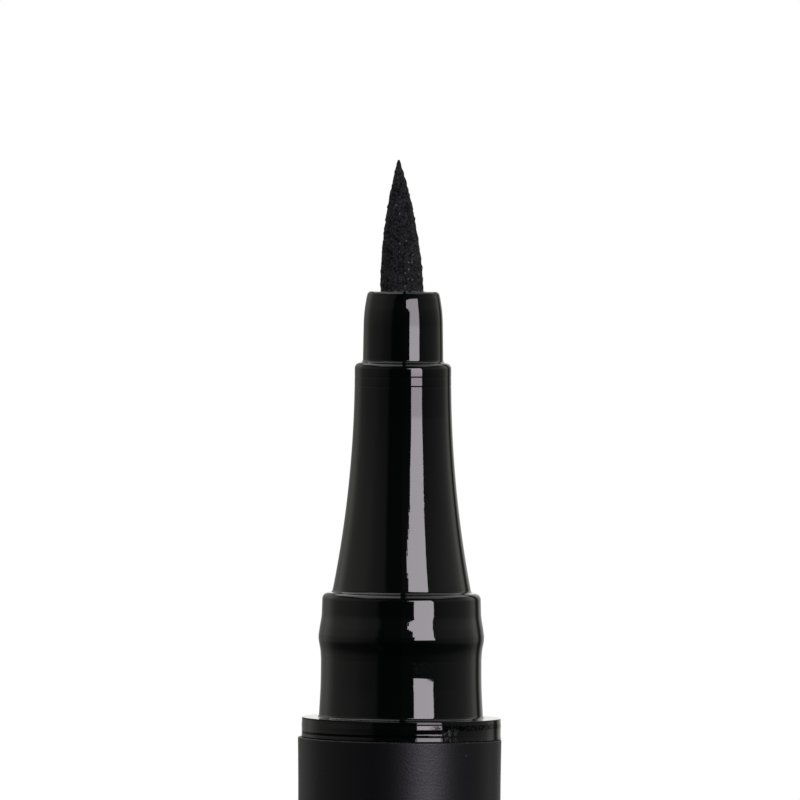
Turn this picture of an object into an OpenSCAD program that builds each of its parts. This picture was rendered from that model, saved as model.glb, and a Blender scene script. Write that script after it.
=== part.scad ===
// Liquid eyeliner pen with a felt tip, stood upright with its cap pushed on the tail.
// Z runs from the closed end of the cap, at zero, up along the pen to the point of the tip.
// Every piece but the two balls and the capillary slits is round about Z.

/* [Barrel] */
// Outside diameter of the barrel, and of the cap that continues it
barrel_d = 10.2; // [9.6:0.1:12]
// Length of the barrel between its two end faces
barrel_length = 86; // [70:1:110]
// Wall of the barrel
barrel_wall = 0.8; // [0.6:0.05:0.95]
// Bevel around the inside of both barrel mouths
barrel_bevel = 0.15; // [0.05:0.05:0.25]

/* [Cap] */
// Length of the cap from closed end to mouth
cap_length = 38; // [37:0.5:46]
// Wall of the cap
cap_wall = 0.85; // [0.75:0.05:0.95]
// Thickness of the cap's closed end
cap_end = 1.2; // [0.8:0.1:1.5]
// Radius around the closed end
cap_end_radius = 0.45; // [0.2:0.05:0.6]
// Depth from the cap's mouth to the middle of its snap ridge
snap_depth = 2.7; // [2.4:0.1:2.9]
// Height of the snap ridge along the cap
snap_height = 0.9; // [0.6:0.1:1]
// Boss inside the closed end that centres the spring
spring_boss_height = 0.8; // [0.4:0.1:1]

/* [Inner cap] */
// Wall of the inner cap
inner_wall = 0.65; // [0.5:0.05:0.7]
// Thickness of the inner cap's closed end, which is also its stop flange
inner_end = 0.9; // [0.7:0.1:1.2]
// Reach of the inner cap's mouth down over the pen's neck
inner_lip = 1.5; // [1.3:0.1:1.8]
// How far the capped pen pushes the inner cap back against its spring
inner_travel = 1.2; // [0.8:0.1:1.5]
// Air left between the tip and the inner cap's closed end
tip_clear = 0.7; // [0.4:0.1:1.2]
// Rise of the two seal beads inside the inner cap's mouth
seal_bead = 0.04; // [0.03:0.01:0.05]
// Thickness of the lip that holds the inner cap in its guide
guide_lip = 0.9; // [0.7:0.1:1.1]
// Wall of the guide sleeve
guide_wall = 0.5; // [0.4:0.05:0.55]
// Wire of the inner cap's spring
spring_wire_d = 0.4; // [0.3:0.05:0.45]
// Full turns of the spring
spring_turns = 7; // [5:1:8]

/* [Front section] */
// Flange height between the barrel's mouth and the cap's mouth
flange_height = 1; // [0.8:0.1:1.6]
// Step from the barrel's side in to the flange's side
flange_inset = 0.08; // [0.04:0.02:0.15]
// Height of the collar that the cap closes over
collar_height = 6.3; // [5.8:0.1:7]
// Height of the snap bead's crest above the flange
bead_crest = 4.15; // [3.9:0.05:4.3]
// Length of the gentle slope above the crest
bead_ramp = 1.1; // [0.9:0.1:1.3]
// Length of the steep slope below the crest
bead_drop = 0.55; // [0.4:0.05:0.7]
// Rise of the bead from the collar
bead_rise = 0.17; // [0.12:0.01:0.2]
// How much the collar widens down to the flange
collar_draft = 0.08; // [0.04:0.01:0.1]
// Length of the trumpet-shaped part between neck and collar
flare_length = 11.6; // [10:0.2:12]
// Radius of the trumpet's single arc
flare_radius = 57.2; // [56:1:80]
// Diameter of the neck at the top of the trumpet
neck_d = 4.88; // [4.7:0.02:5]
// Straight length of the neck
neck_length = 0.55; // [0.4:0.05:0.8]
// Radius around the neck's shoulder
shoulder_radius = 0.27; // [0.12:0.03:0.3]
// Radius around the collar's top
collar_radius = 0.27; // [0.12:0.03:0.3]
// Radius around the flange's upper edge
flange_radius = 0.1; // [0.04:0.02:0.2]
// Radius in the corner between the collar's top and the trumpet
flare_fillet = 0.18; // [0.1:0.02:0.2]
// Wall of the front section
section_wall = 0.7; // [0.55:0.05:0.75]
// Length of the skirt inside the barrel
skirt_length = 14; // [12:0.5:18]

/* [Tip] */
// Visible length of the tip holder
nose_length = 3.58; // [3:0.1:4.2]
// Diameter of the tip holder at its base
nose_base_d = 4.08; // [3.9:0.02:4.2]
// Diameter of the tip holder where its crown begins
nose_crown_d = 4; // [3.8:0.02:4.06]
// Height of the crown, over which the holder's side curves in
nose_crown = 1.45; // [1:0.05:1.8]
// Radius of the crown's curve
nose_crown_radius = 5; // [4.5:0.25:7]
// Radius around the tip holder's top
nose_radius = 0.12; // [0.06:0.02:0.2]
// Bevel around the felt at the holder's mouth
nose_bevel = 0.08; // [0.04:0.02:0.12]
// Length of the tip holder's shank inside the neck
shank_length = 5; // [4:0.25:6]
// Diameter of the shank
shank_d = 3.2; // [3:0.05:3.4]
// Diameter of the felt tip where it leaves the holder
tip_d = 2.18; // [1.9:0.02:2.3]
// Length of the felt tip outside the holder
tip_length = 6.65; // [5.6:0.05:8]
// Fullness of the tip's side against a straight cone
tip_bulge_share = 0.18; // [0.12:0.01:0.2]
// Width of the blunt point
tip_blunt_share = 0.045; // [0.03:0.005:0.08]
// Width of the three air grooves in the holder's bore
vent_d = 0.36; // [0.24:0.02:0.4]

/* [Ink feed] */
// Diameter of the fibre feed rod
feed_d = 1.6; // [1.2:0.1:1.8]
// How far the felt tip reaches into the collector's socket
socket_depth = 1.5; // [1:0.1:2.5]
// Thickness of one collector fin
fin_thickness = 0.28; // [0.24:0.02:0.34]
// Gap between two collector fins
fin_gap = 0.32; // [0.26:0.02:0.4]
// Fins from one stout fin, which stiffens the comb, to the next
stout_spacing = 6; // [4:1:8]
// Thickness of a stout fin
stout_thickness = 0.42; // [0.36:0.02:0.46]
// Diameter of the collector's stem between fins
stem_d = 3.2; // [3:0.05:3.4]
// Width of the capillary slit down through the fins
slit_width = 0.16; // [0.12:0.02:0.2]
// Width of the air notch opposite the slit
notch_width = 1.1; // [0.8:0.1:1.4]
// Depth of the air notch in the fins
notch_depth = 0.7; // [0.4:0.1:0.9]
// Distance of each air notch from the middle, left and right by turns
notch_shift = 0.8; // [0.6:0.1:1]
// Thickness of the collector's clamping flange
comb_flange = 0.8; // [0.6:0.1:1.2]
// Length of the collector's plug in the tank mouth
comb_plug = 3; // [2.4:0.1:4]
// Thickness of the gasket on the tank mouth
gasket_height = 0.6; // [0.4:0.1:1]

/* [Tank] */
// Play between the tank and the barrel
tank_play = 0.25; // [0.15:0.05:0.35]
// Wall of the ink tank
tank_wall = 0.7; // [0.5:0.05:0.75]
// Thickness of the stopper's head
stopper_head = 0.8; // [0.6:0.1:1.2]
// Length of the stopper inside the tank
stopper_length = 3.5; // [2.5:0.25:5]
// Depth of the stopper's hollow
stopper_hollow = 2.6; // [1.5:0.1:2.6]
// Diameter of a mixing ball
ball_d = 3; // [2.5:0.05:3.1]

/* [Tail plug] */
// Length of the stub that the cap is pushed onto
spigot_length = 6; // [4.5:0.25:7]
// Radius around the end of the stub
spigot_radius = 0.5; // [0.2:0.1:0.8]
// Thickness of the tail flange
tail_flange = 1; // [0.8:0.1:1.4]
// Step from the barrel's side in to the tail flange's side
tail_inset = 0.25; // [0.15:0.05:0.4]
// Length of the plug inside the barrel
plug_length = 6; // [4.5:0.25:9]
// Wall of the hollow plug
plug_wall = 0.9; // [0.7:0.05:1.2]

/* [Fits] */
// Radial clearance of pressed pieces
press_fit = 0.02; // [0.01:0.005:0.03]
// Radial clearance of sliding pieces
slide_fit = 0.05; // [0.03:0.01:0.07]
// Air between the cap's mouth and the tail flange
mouth_gap = 0.05; // [0.03:0.01:0.1]
// Radial air between the snap bead and the cap's bore
bead_air = 0.07; // [0.05:0.01:0.12]
// Rise of the barrel's holding ribs, and depth of their grooves
rib_rise = 0.12; // [0.08:0.01:0.15]
// Distance from a barrel end to its holding rib
rib_depth = 3; // [2.5:0.1:3.5]
// Air around a ball
ball_air = 0.06; // [0.03:0.01:0.08]

/* [Hidden] */
$fn = 96;
// What a cut runs past the face it opens, and what a layer in a wall sinks into it
overrun = 0.5;

// Radii that the barrel and the cap share with what fits them
barrel_r = barrel_d / 2;
bore_r = barrel_r - barrel_wall;
cap_bore_r = barrel_r - cap_wall;
bead_r = cap_bore_r - bead_air;
collar_r = bead_r - bead_rise;
land_r = collar_r + collar_draft / 2;
collar_root_r = collar_r + collar_draft * 1.5;
ridge_r = land_r + slide_fit;
spigot_r = ridge_r - slide_fit;
flange_r = barrel_r - flange_inset;
sleeve_r = bore_r - press_fit;
skirt_bore_r = sleeve_r - section_wall;
collar_bore_r = collar_r - section_wall;
tank_r = bore_r - tank_play;
tank_bore_r = tank_r - tank_wall;
neck_r = neck_d / 2;
flare_root_r = neck_r + flare_radius - sqrt(pow(flare_radius, 2) - pow(flare_length - neck_length, 2));
shank_r = shank_d / 2;
tip_r = tip_d / 2;
feed_bore_r = feed_d / 2 + press_fit;
tip_bore_r = tip_r + press_fit;

// Heights, from the cap's closed end upwards
tail_flange_z = cap_length + mouth_gap;
barrel_z = tail_flange_z + tail_flange;
flange_z = barrel_z + barrel_length;
collar_z = flange_z + flange_height;
flare_z = collar_z + collar_height;
shoulder_z = flare_z + flare_length;
nose_z = shoulder_z + nose_length;
apex_z = nose_z + tip_length;
spigot_z = tail_flange_z - spigot_length;
skirt_z = flange_z - skirt_length;
gasket_z = skirt_z - comb_flange - gasket_height;
comb_plug_z = gasket_z - comb_plug;
stopper_z = barrel_z + plug_length;
tank_z = stopper_z + stopper_head;
ball_floor_z = tank_z + stopper_length;
comb_top_z = shoulder_z - shank_length;
tip_tail_z = comb_top_z - socket_depth;
collar_bore_z = flare_z - section_wall;
crown_z = nose_z - nose_crown;

// The crown's arc and the small arc around the holder's top meet in one tangent
crown_centre_r = nose_crown_d / 2 - nose_crown_radius;
nose_flat_r = crown_centre_r + sqrt(pow(nose_crown_radius - nose_radius, 2) - pow(nose_crown - nose_radius, 2));
crown_end_z = crown_z + nose_crown_radius * (nose_crown - nose_radius) / (nose_crown_radius - nose_radius);

// Depths inside the cap, measured down from its mouth as the capped pen's parts lie
seal_depth = collar_height + flare_length - inner_travel;
inner_end_depth = seal_depth + nose_length + tip_length + tip_clear;
inner_back_z = cap_length - inner_end_depth - inner_end;
inner_front_z = cap_length - seal_depth + inner_lip;
inner_step_z = cap_length - seal_depth;
inner_bore_r = neck_r + slide_fit + seal_bead;
inner_r = inner_bore_r + inner_wall;
inner_tip_bore_r = nose_base_d / 2 + slide_fit + seal_bead;
guide_r = cap_bore_r - press_fit;
guide_bore_r = guide_r - guide_wall;
inner_flange_r = guide_bore_r - slide_fit;
guide_top_z = inner_back_z + inner_end + slide_fit + guide_lip;
spring_rings = 8;
spring_sides = 6;
spring_length = inner_back_z - cap_end;
spring_r = inner_r - spring_wire_d;
// The wire's flats cut inside its round, so the bosses in its ends stay clear of them
boss_r = (spring_r - spring_wire_d / 2) * cos(180 / spring_rings) - slide_fit;

// The collector's two combs: the wide one in the skirt and the slim one in the collar
fin_pitch = fin_thickness + fin_gap;
wide_fin_r = skirt_bore_r - press_fit;
slim_fin_r = collar_bore_r - press_fit;
wide_fins = floor((skirt_length - fin_gap) / fin_pitch);
slim_fins = floor((collar_bore_z - flange_z - fin_gap) / fin_pitch);
plug_r = tank_bore_r - press_fit;
plug_rib = press_fit / 2;

// Takes a convex corner off a profile, leaving an arc about the origin
module corner_cut(r) {
  difference() {
    square(r + overrun);
    circle(r);
  }
}

// Fills a concave corner of a profile at the origin with an arc, and sinks into both its sides
module corner_fill(r) {
  difference() {
    translate([-r, -r])
      square(r * 2);
    translate([r, r])
      circle(r);
  }
}

// A half-round rib or groove in a profile, centred on the origin
module rib(rise) {
  intersection() {
    translate([-rise * 2, 0])
      circle(rise * 3);
    translate([-rise, -rise * 3])
      square([rise * 2, rise * 6]);
  }
}

// A ring-shaped solid between two radii
module ring(r_out, r_in, height) {
  difference() {
    cylinder(r = r_out, h = height);
    translate([0, 0, -overrun])
      cylinder(r = r_in, h = height + overrun * 2);
  }
}

// The cap is a blind tube. A ridge near its mouth snaps behind the collar's bead
module cap_shell() {
  color("#1b1b1c")
    rotate_extrude()
      difference() {
        square([barrel_r, cap_length]);
        difference() {
          translate([0, cap_end])
            square([cap_bore_r, cap_length]);
          square([boss_r, cap_end + spring_boss_height]);
          translate([0, cap_length - snap_depth])
            snap_ridge();
        }
        translate([barrel_r - cap_end_radius, cap_end_radius])
          mirror([0, 1])
            corner_cut(cap_end_radius);
        translate([cap_bore_r, cap_length])
          rotate(45)
            square(barrel_bevel * sqrt(2), center = true);
      }
}

// A low ridge with sloping sides inside the cap's bore
module snap_ridge() {
  polygon([
    [cap_bore_r + overrun, -snap_height / 2],
    [cap_bore_r, -snap_height / 2],
    [ridge_r, -snap_height / 4],
    [ridge_r, snap_height / 4],
    [cap_bore_r, snap_height / 2],
    [cap_bore_r + overrun, snap_height / 2]
  ]);
}

// The guide is pressed to the bottom of the cap, and its lip keeps the inner cap in
module inner_cap_guide() {
  color("#d9d9d6")
    translate([0, 0, cap_end]) {
      ring(guide_r, guide_bore_r, guide_top_z - guide_lip - cap_end);
      translate([0, 0, guide_top_z - guide_lip - cap_end])
        ring(guide_r, inner_r + slide_fit, guide_lip);
    }
}

// The inner cap closes over the neck and presses on its shoulder, so the ink can't dry
module inner_cap() {
  color("#e8e8e4")
    rotate_extrude()
      difference() {
        union() {
          translate([0, inner_back_z])
            square([inner_r, inner_front_z - inner_back_z]);
          translate([0, inner_back_z])
            square([inner_flange_r, inner_end]);
          translate([0, inner_back_z - spring_boss_height])
            square([boss_r, spring_boss_height]);
        }
        translate([0, inner_back_z + inner_end])
          square([inner_tip_bore_r, inner_front_z]);
        difference() {
          translate([0, inner_step_z])
            square([inner_bore_r, inner_front_z]);
          for (step_share = [0.3, 0.7])
            translate([inner_bore_r, inner_step_z + inner_lip * step_share])
              circle(seal_bead);
        }
      }
}

// The spring is one unbroken round wire with a flat cut at each end
spring_pitch = (spring_length - spring_wire_d) / spring_turns;
function spring_point(turn, side) =
  let (a = turn * 360, b = side * 360 / spring_sides, r = spring_r + spring_wire_d / 2 * cos(b))
  [r * cos(a), r * sin(a), cap_end + spring_wire_d / 2 + turn * spring_pitch
    + spring_wire_d / 2 * sin(b)];
spring_steps = spring_turns * spring_rings;
spring_points = [
  for (i = [0 : spring_steps], k = [0 : spring_sides - 1])
    spring_point(i / spring_rings, k)
];
// The least gap between one turn and the next, point by point along the first turn
spring_gap = min([
  for (k = [0 : spring_sides - 1], m = [0 : spring_sides - 1], i = [-1 : 1])
    norm(spring_point(0, k) - spring_point(1 + i / spring_rings, m))
]);
echo(spring_gap = spring_gap);

module inner_cap_spring() {
  color("#b9bbbe")
    polyhedron(points = spring_points, faces = concat(
      [[for (k = [0 : spring_sides - 1]) k]],
      [[for (k = [spring_sides - 1 : -1 : 0]) spring_steps * spring_sides + k]],
      [for (i = [0 : spring_steps - 1], k = [0 : spring_sides - 1])
        each spring_side(i * spring_sides, k, (k + 1) % spring_sides)]
    ));
}

// The two triangles between one side of a ring and the same side of the next
function spring_side(base, k, next) = [
  [base + k, base + spring_sides + k, base + next],
  [base + next, base + spring_sides + k, base + spring_sides + next]
];

// The tail plug closes the barrel. Its stub carries the cap while the pen is in use
module tail_plug() {
  color("#101011")
    rotate_extrude()
      difference() {
        union() {
          translate([0, spigot_z])
            square([spigot_r, spigot_length]);
          translate([0, tail_flange_z])
            square([barrel_r - tail_inset, tail_flange]);
          translate([0, barrel_z])
            square([sleeve_r, plug_length]);
          translate([sleeve_r, barrel_z + rib_depth])
            rib(rib_rise);
        }
        translate([0, spigot_z + plug_wall])
          square([spigot_r - plug_wall, stopper_z]);
        translate([spigot_r - spigot_radius, spigot_z + spigot_radius])
          mirror([0, 1])
            corner_cut(spigot_radius);
      }
}

// The barrel is a plain tube with a holding groove near each end
module barrel() {
  color("#222223")
    rotate_extrude()
      difference() {
        translate([bore_r, barrel_z])
          square([barrel_wall, barrel_length]);
        for (end_z = [barrel_z + rib_depth, flange_z - rib_depth])
          translate([bore_r, end_z])
            rib(rib_rise + press_fit);
        for (end_z = [barrel_z, flange_z])
          translate([bore_r, end_z])
            rotate(45)
              square(barrel_bevel * sqrt(2), center = true);
      }
}

// The stopper closes the back of the tank and is held there by the tail plug
module tank_stopper() {
  color("#cfd2d3")
    rotate_extrude()
      difference() {
        union() {
          translate([0, stopper_z])
            square([tank_r, stopper_head]);
          translate([0, tank_z])
            square([plug_r - plug_rib, stopper_length]);
          for (rib_share = [0.3, 0.65])
            translate([0, tank_z + stopper_length * rib_share])
              square([plug_r, stopper_length / 10]);
        }
        translate([0, stopper_z - overrun])
          square([tank_bore_r - tank_wall * 1.5, stopper_hollow + overrun]);
      }
}

// The ink tank is an open tube. The collector plugs its mouth and the stopper its back
module ink_tank() {
  color("#dfe3e4")
    translate([0, 0, tank_z])
      ring(tank_r, tank_bore_r, gasket_z - tank_z);
}

// Two loose steel balls stir the ink when the pen is shaken
module mixing_ball(side) {
  color("#c6c8ca")
    translate([side * (ball_d + ball_air) / 2, 0, ball_floor_z + ball_air + ball_d / 2])
      sphere(d = ball_d);
}

module mixing_ball_left() {
  mixing_ball(-1);
}

module mixing_ball_right() {
  mixing_ball(1);
}

// The gasket is clamped between the tank's mouth and the collector's flange
module tank_gasket() {
  color("#3a3a3c")
    translate([0, 0, gasket_z])
      ring(tank_r, tank_bore_r, gasket_height);
}

// Each comb's stout fins stand at equal steps, counted from its lowest fin
function fin_height(i) = i % stout_spacing == stout_spacing - 1 ? stout_thickness : fin_thickness;

// One comb of fins as outline points, from its lowest fin up
function comb(low_z, count, fin_r) = [
  for (i = [0 : count - 1], p = [[0, 0], [1, 0], [1, 1], [0, 1]])
    [p[0] == 0 ? stem_d / 2 : fin_r, low_z + i * fin_pitch + p[1] * fin_height(i)]
];

// The air notches of one comb. Air that replaces the ink climbs through them from side to side
module air_notches(low_z, count, fin_r) {
  for (i = [0 : count - 1])
    translate([
      (i % 2 == 0 ? notch_shift : -notch_shift) - notch_width / 2,
      -fin_r - overrun,
      low_z + i * fin_pitch - fin_gap / 4
    ])
      cube([notch_width, notch_depth + overrun, fin_height(i) + fin_gap / 2]);
}

// The collector is a tube of thin fins. Ink that the tank pushes out as it warms climbs
// between them instead of dripping from the tip, and the slit draws it back
module ink_collector() {
  color("#e6e7e2")
    difference() {
      rotate_extrude()
        polygon(concat(
          [
            [feed_bore_r, comb_plug_z],
            [plug_r, comb_plug_z],
            [plug_r, gasket_z + gasket_height],
            [tank_r, gasket_z + gasket_height],
            [tank_r, skirt_z],
            [stem_d / 2, skirt_z]
          ],
          comb(skirt_z + fin_gap, wide_fins, wide_fin_r),
          comb(flange_z + fin_gap, slim_fins, slim_fin_r),
          [
            [stem_d / 2, comb_top_z],
            [tip_bore_r, comb_top_z],
            [tip_bore_r, tip_tail_z],
            [feed_bore_r, tip_tail_z]
          ]
        ));
      // Capillary slit, through both combs and, close to the rod, through the plug
      translate([-slit_width / 2, 0, skirt_z])
        cube([slit_width, barrel_r, collar_bore_z - skirt_z]);
      translate([-slit_width / 2, 0, comb_plug_z - overrun])
        cube([slit_width, stem_d / 2, collar_bore_z - comb_plug_z]);
      air_notches(skirt_z + fin_gap, wide_fins, wide_fin_r);
      air_notches(flange_z + fin_gap, slim_fins, slim_fin_r);
    }
}

// The feed rod is a bundle of fibre that wicks the ink from the tank to the felt tip
module feed_rod() {
  color("#2a2a2c")
    translate([0, 0, comb_plug_z])
      cylinder(d = feed_d, h = tip_tail_z - comb_plug_z);
}

// Trumpet and neck, from the collar's top to the shoulder
module flare_profile() {
  difference() {
    translate([0, flare_z - overrun])
      square([flare_root_r, flare_length - neck_length + overrun]);
    translate([neck_r + flare_radius, shoulder_z - neck_length])
      circle(flare_radius, $fn = 1440);
  }
  translate([flare_root_r - flare_fillet / 3, flare_z])
    corner_fill(flare_fillet);
  difference() {
    translate([0, shoulder_z - neck_length])
      square([neck_r, neck_length]);
    translate([neck_r - shoulder_radius, shoulder_z - shoulder_radius])
      corner_cut(shoulder_radius);
  }
}

// Collar with its snap bead, which holds the cap
module collar_profile() {
  difference() {
    polygon([
      [0, collar_z - overrun],
      [collar_root_r, collar_z - overrun],
      [collar_root_r, collar_z],
      [land_r, collar_z + bead_crest - bead_drop * 2],
      [land_r, collar_z + bead_crest - bead_drop],
      [bead_r, collar_z + bead_crest - bead_drop / 4],
      [bead_r, collar_z + bead_crest + bead_ramp / 8],
      [collar_r, collar_z + bead_crest + bead_ramp],
      [collar_r, flare_z],
      [0, flare_z]
    ]);
    translate([collar_r - collar_radius, flare_z - collar_radius])
      corner_cut(collar_radius);
  }
}

// The front section is one moulding: skirt, flange, collar, trumpet and neck
module front_section() {
  color("#0d0d0f")
    rotate_extrude()
      difference() {
        union() {
          flare_profile();
          collar_profile();
          difference() {
            translate([0, flange_z])
              square([flange_r, flange_height]);
            translate([flange_r - flange_radius, collar_z - flange_radius])
              corner_cut(flange_radius);
          }
          translate([0, skirt_z])
            square([sleeve_r, skirt_length]);
          translate([sleeve_r, flange_z - rib_depth])
            rib(rib_rise);
        }
        translate([0, skirt_z - overrun])
          square([skirt_bore_r, skirt_length + overrun]);
        translate([0, skirt_z])
          square([collar_bore_r, collar_bore_z - skirt_z]);
        translate([0, skirt_z])
          square([shank_r + press_fit, shoulder_z]);
        polygon([
          [0, collar_bore_z - overrun],
          [flare_root_r - section_wall, collar_bore_z - overrun],
          [flare_root_r - section_wall, collar_bore_z],
          [shank_r + press_fit, comb_top_z - socket_depth],
          [0, comb_top_z - socket_depth]
        ]);
      }
}

// Side of the tip holder: a slight draft, the crown that curves in, and a small round at the top
module nose_profile() {
  polygon([
    [0, shoulder_z],
    [nose_base_d / 2, shoulder_z],
    [nose_crown_d / 2, crown_z],
    [0, crown_z]
  ]);
  intersection() {
    translate([0, crown_z - overrun])
      square([nose_crown_d, crown_end_z - crown_z + overrun]);
    translate([crown_centre_r, crown_z])
      circle(nose_crown_radius, $fn = 720);
  }
  translate([0, crown_z])
    square([nose_flat_r, nose_crown]);
  translate([nose_flat_r, nose_z - nose_radius])
    circle(nose_radius);
}

// The tip holder is pressed into the neck. Three grooves let air past the felt
module tip_holder() {
  color("#0e0e10")
    difference() {
      rotate_extrude()
        difference() {
          union() {
            nose_profile();
            translate([0, comb_top_z])
              square([shank_r, shank_length]);
          }
          translate([0, comb_top_z - overrun])
            square([tip_bore_r, shank_length + nose_length + overrun * 2]);
          translate([tip_bore_r, nose_z])
            rotate(45)
              square(nose_bevel * sqrt(2), center = true);
        }
      for (turn_a = [0 : 120 : 240])
        rotate(turn_a)
          translate([tip_bore_r, 0, comb_top_z - overrun])
            cylinder(d = vent_d, h = shank_length + nose_length + overrun * 2);
    }
}

// Radius of the felt, as a share of its base, at a share of the way down from the point
function felt_share(down_share) =
  tip_blunt_share + (1 - tip_blunt_share) * down_share
  + 4 * tip_bulge_share * down_share * (1 - down_share);

// The felt tip is one fibre rod, ground to a point outside and square inside
module felt_tip() {
  felt_steps = 16;
  color("#202022")
    rotate_extrude()
      polygon(concat(
        [[0, tip_tail_z], [tip_r, tip_tail_z]],
        [for (i = [felt_steps : -1 : 0])
          [tip_r * felt_share(i / felt_steps), apex_z - tip_length * i / felt_steps]],
        [[0, apex_z]]
      ));
}

cap_shell();
inner_cap_guide();
inner_cap();
inner_cap_spring();
tail_plug();
barrel();
tank_stopper();
ink_tank();
mixing_ball_left();
mixing_ball_right();
tank_gasket();
ink_collector();
feed_rod();
front_section();
tip_holder();
felt_tip();
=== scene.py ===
# Liquid eyeliner pen with a felt tip: its looks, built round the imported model
import math

import bmesh
import bpy
from mathutils import Matrix, Vector, noise


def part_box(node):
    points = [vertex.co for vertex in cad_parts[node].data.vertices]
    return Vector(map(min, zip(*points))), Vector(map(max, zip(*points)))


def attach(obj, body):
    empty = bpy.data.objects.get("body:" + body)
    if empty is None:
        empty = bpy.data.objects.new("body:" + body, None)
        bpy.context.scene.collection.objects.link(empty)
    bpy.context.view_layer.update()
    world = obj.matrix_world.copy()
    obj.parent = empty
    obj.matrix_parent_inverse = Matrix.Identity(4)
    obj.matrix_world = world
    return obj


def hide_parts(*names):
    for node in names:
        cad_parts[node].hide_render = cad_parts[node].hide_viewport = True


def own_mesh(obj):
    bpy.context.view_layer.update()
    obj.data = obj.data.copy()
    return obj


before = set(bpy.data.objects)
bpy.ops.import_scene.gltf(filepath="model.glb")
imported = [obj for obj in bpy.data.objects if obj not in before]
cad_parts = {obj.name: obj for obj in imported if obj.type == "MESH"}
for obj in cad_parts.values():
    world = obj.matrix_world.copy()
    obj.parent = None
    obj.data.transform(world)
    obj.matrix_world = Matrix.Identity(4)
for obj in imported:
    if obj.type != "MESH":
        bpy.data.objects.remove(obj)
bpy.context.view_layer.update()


# Front section: one injection moulding in black ABS from a polished mould. From the top down it is neck,
# trumpet, collar with the cap's snap bead, flange, and a skirt that is pressed into the barrel.

# Sizes are written in mm and are made metres as the meshes are built
MM = 0.001


def turned(name, outline, rings=224):
    """A round piece: its outline, points of (radius, height) and any rounding, is spun about Z."""
    bm = bmesh.new()
    corners = [bm.verts.new((x * MM, 0, z * MM)) for x, z, *_ in outline]
    for i, corner in enumerate(corners):
        if i or outline[0][0] or outline[-1][0]:
            bm.edges.new((corners[i - 1], corner))
    for corner, point in zip(corners, outline):
        if len(point) == 3:
            bmesh.ops.bevel(bm, geom=[corner], offset=point[2] * MM, offset_type="OFFSET", segments=7,
                            profile=0.5, affect="VERTICES", material=-1)
    # A ring close to each end of a long straight keeps the smooth shading to the roundings
    long_straight, inset = 0.095 * MM, 0.03 * MM
    for edge in [e for e in bm.edges if e.calc_length() > long_straight]:
        far = edge.verts[1]
        middle = bmesh.utils.edge_split(edge, edge.verts[0], inset / edge.calc_length())[1]
        rest = next(e for e in middle.link_edges if far in e.verts)
        bmesh.utils.edge_split(rest, far, inset / rest.calc_length())
    bmesh.ops.spin(bm, geom=bm.verts[:] + bm.edges[:], cent=(0, 0, 0), axis=(0, 0, 1), dvec=(0, 0, 0),
                   angle=math.tau, steps=rings, use_merge=True)
    bmesh.ops.remove_doubles(bm, verts=bm.verts[:], dist=0.0005 * MM)
    bmesh.ops.recalc_face_normals(bm, faces=bm.faces[:])
    return piece_of(name, bm)


def settle(piece, stops, wall=0):
    """Lets a piece sit as unevenly as the real one. Stops of (height, shift to the right, slant) run upwards,
    and only what is outside the wall's radius shifts."""
    for vert in piece.data.vertices:
        z = vert.co.z / MM
        for (low, *from_low), (high, *to_high) in zip(stops, stops[1:]):
            if low <= z <= high:
                share = (z - low) / (high - low)
                shift, slant = (a + (b - a) * share for a, b in zip(from_low, to_high))
                vert.co.z -= vert.co.x * slant
                vert.co.x += shift * MM if math.hypot(vert.co.x, vert.co.y) > wall * MM else 0
                break


def piece_of(name, bm):
    """The finished bmesh as a smooth-shaded piece in the scene."""
    for face in bm.faces:
        face.smooth = True
    mesh = bpy.data.meshes.new(name)
    bm.to_mesh(mesh)
    bm.free()
    piece = bpy.data.objects.new(name, mesh)
    bpy.context.scene.collection.objects.link(piece)
    return piece


def linear(code):
    """An sRGB hex colour as the linear numbers that Blender works in."""
    parts = [int(code[i:i + 2], 16) / 255 for i in (1, 3, 5)]
    return [*(c / 12.92 if c <= 0.04045 else ((c + 0.055) / 1.055) ** 2.4 for c in parts), 1]


def add_node(tree, kind, inputs=None, **settings):
    """A node with its settings. Each input is given a value, or another node's output to link."""
    made = tree.nodes.new("ShaderNode" + kind)
    for setting, value in settings.items():
        setattr(made, setting, value)
    for socket, value in (inputs or {}).items():
        if isinstance(value, bpy.types.NodeSocket):
            tree.links.new(value, made.inputs[socket])
        else:
            made.inputs[socket].default_value = value
    return made


def start_material(name, **shader_values):
    """A material's tree with its surface shader, and the piece's own coordinates in metres."""
    material = bpy.data.materials.new(name)
    material.use_nodes = True
    tree = material.node_tree
    tree.nodes.clear()
    place = add_node(tree, "TexCoord").outputs["Object"]
    shader = add_node(tree, "BsdfPrincipled", {k.replace("_", " "): v for k, v in shader_values.items()})
    add_node(tree, "OutputMaterial", {"Surface": shader.outputs[0]})
    return material, tree, place, shader


def snap_rib(middle, foot, crest, rounding=()):
    """A rib round a skirt, or the groove that it snaps into, as outline points from its top down. The foot
    and the crest are each a radius and a half height."""
    return [(foot[0], middle + foot[1], *rounding), (crest[0], middle + crest[1], *rounding),
            (crest[0], middle - crest[1], *rounding), (foot[0], middle - foot[1], *rounding)]


# Heights, as the model has them
skirt_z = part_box("front_section")[0].z / MM
flange_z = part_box("barrel")[1].z / MM
collar_z = flange_z + 1
flare_z = collar_z + 6.31
shoulder_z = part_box("front_section")[1].z / MM
neck_z = shoulder_z - 0.55
neck_r = 2.44
# The rib lies this deep in the barrel's mouth, and the tail plug has the same one
rib_depth = 3
rib = (4.28, 0.36), (4.4, 0.06), (0.05,)

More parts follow.
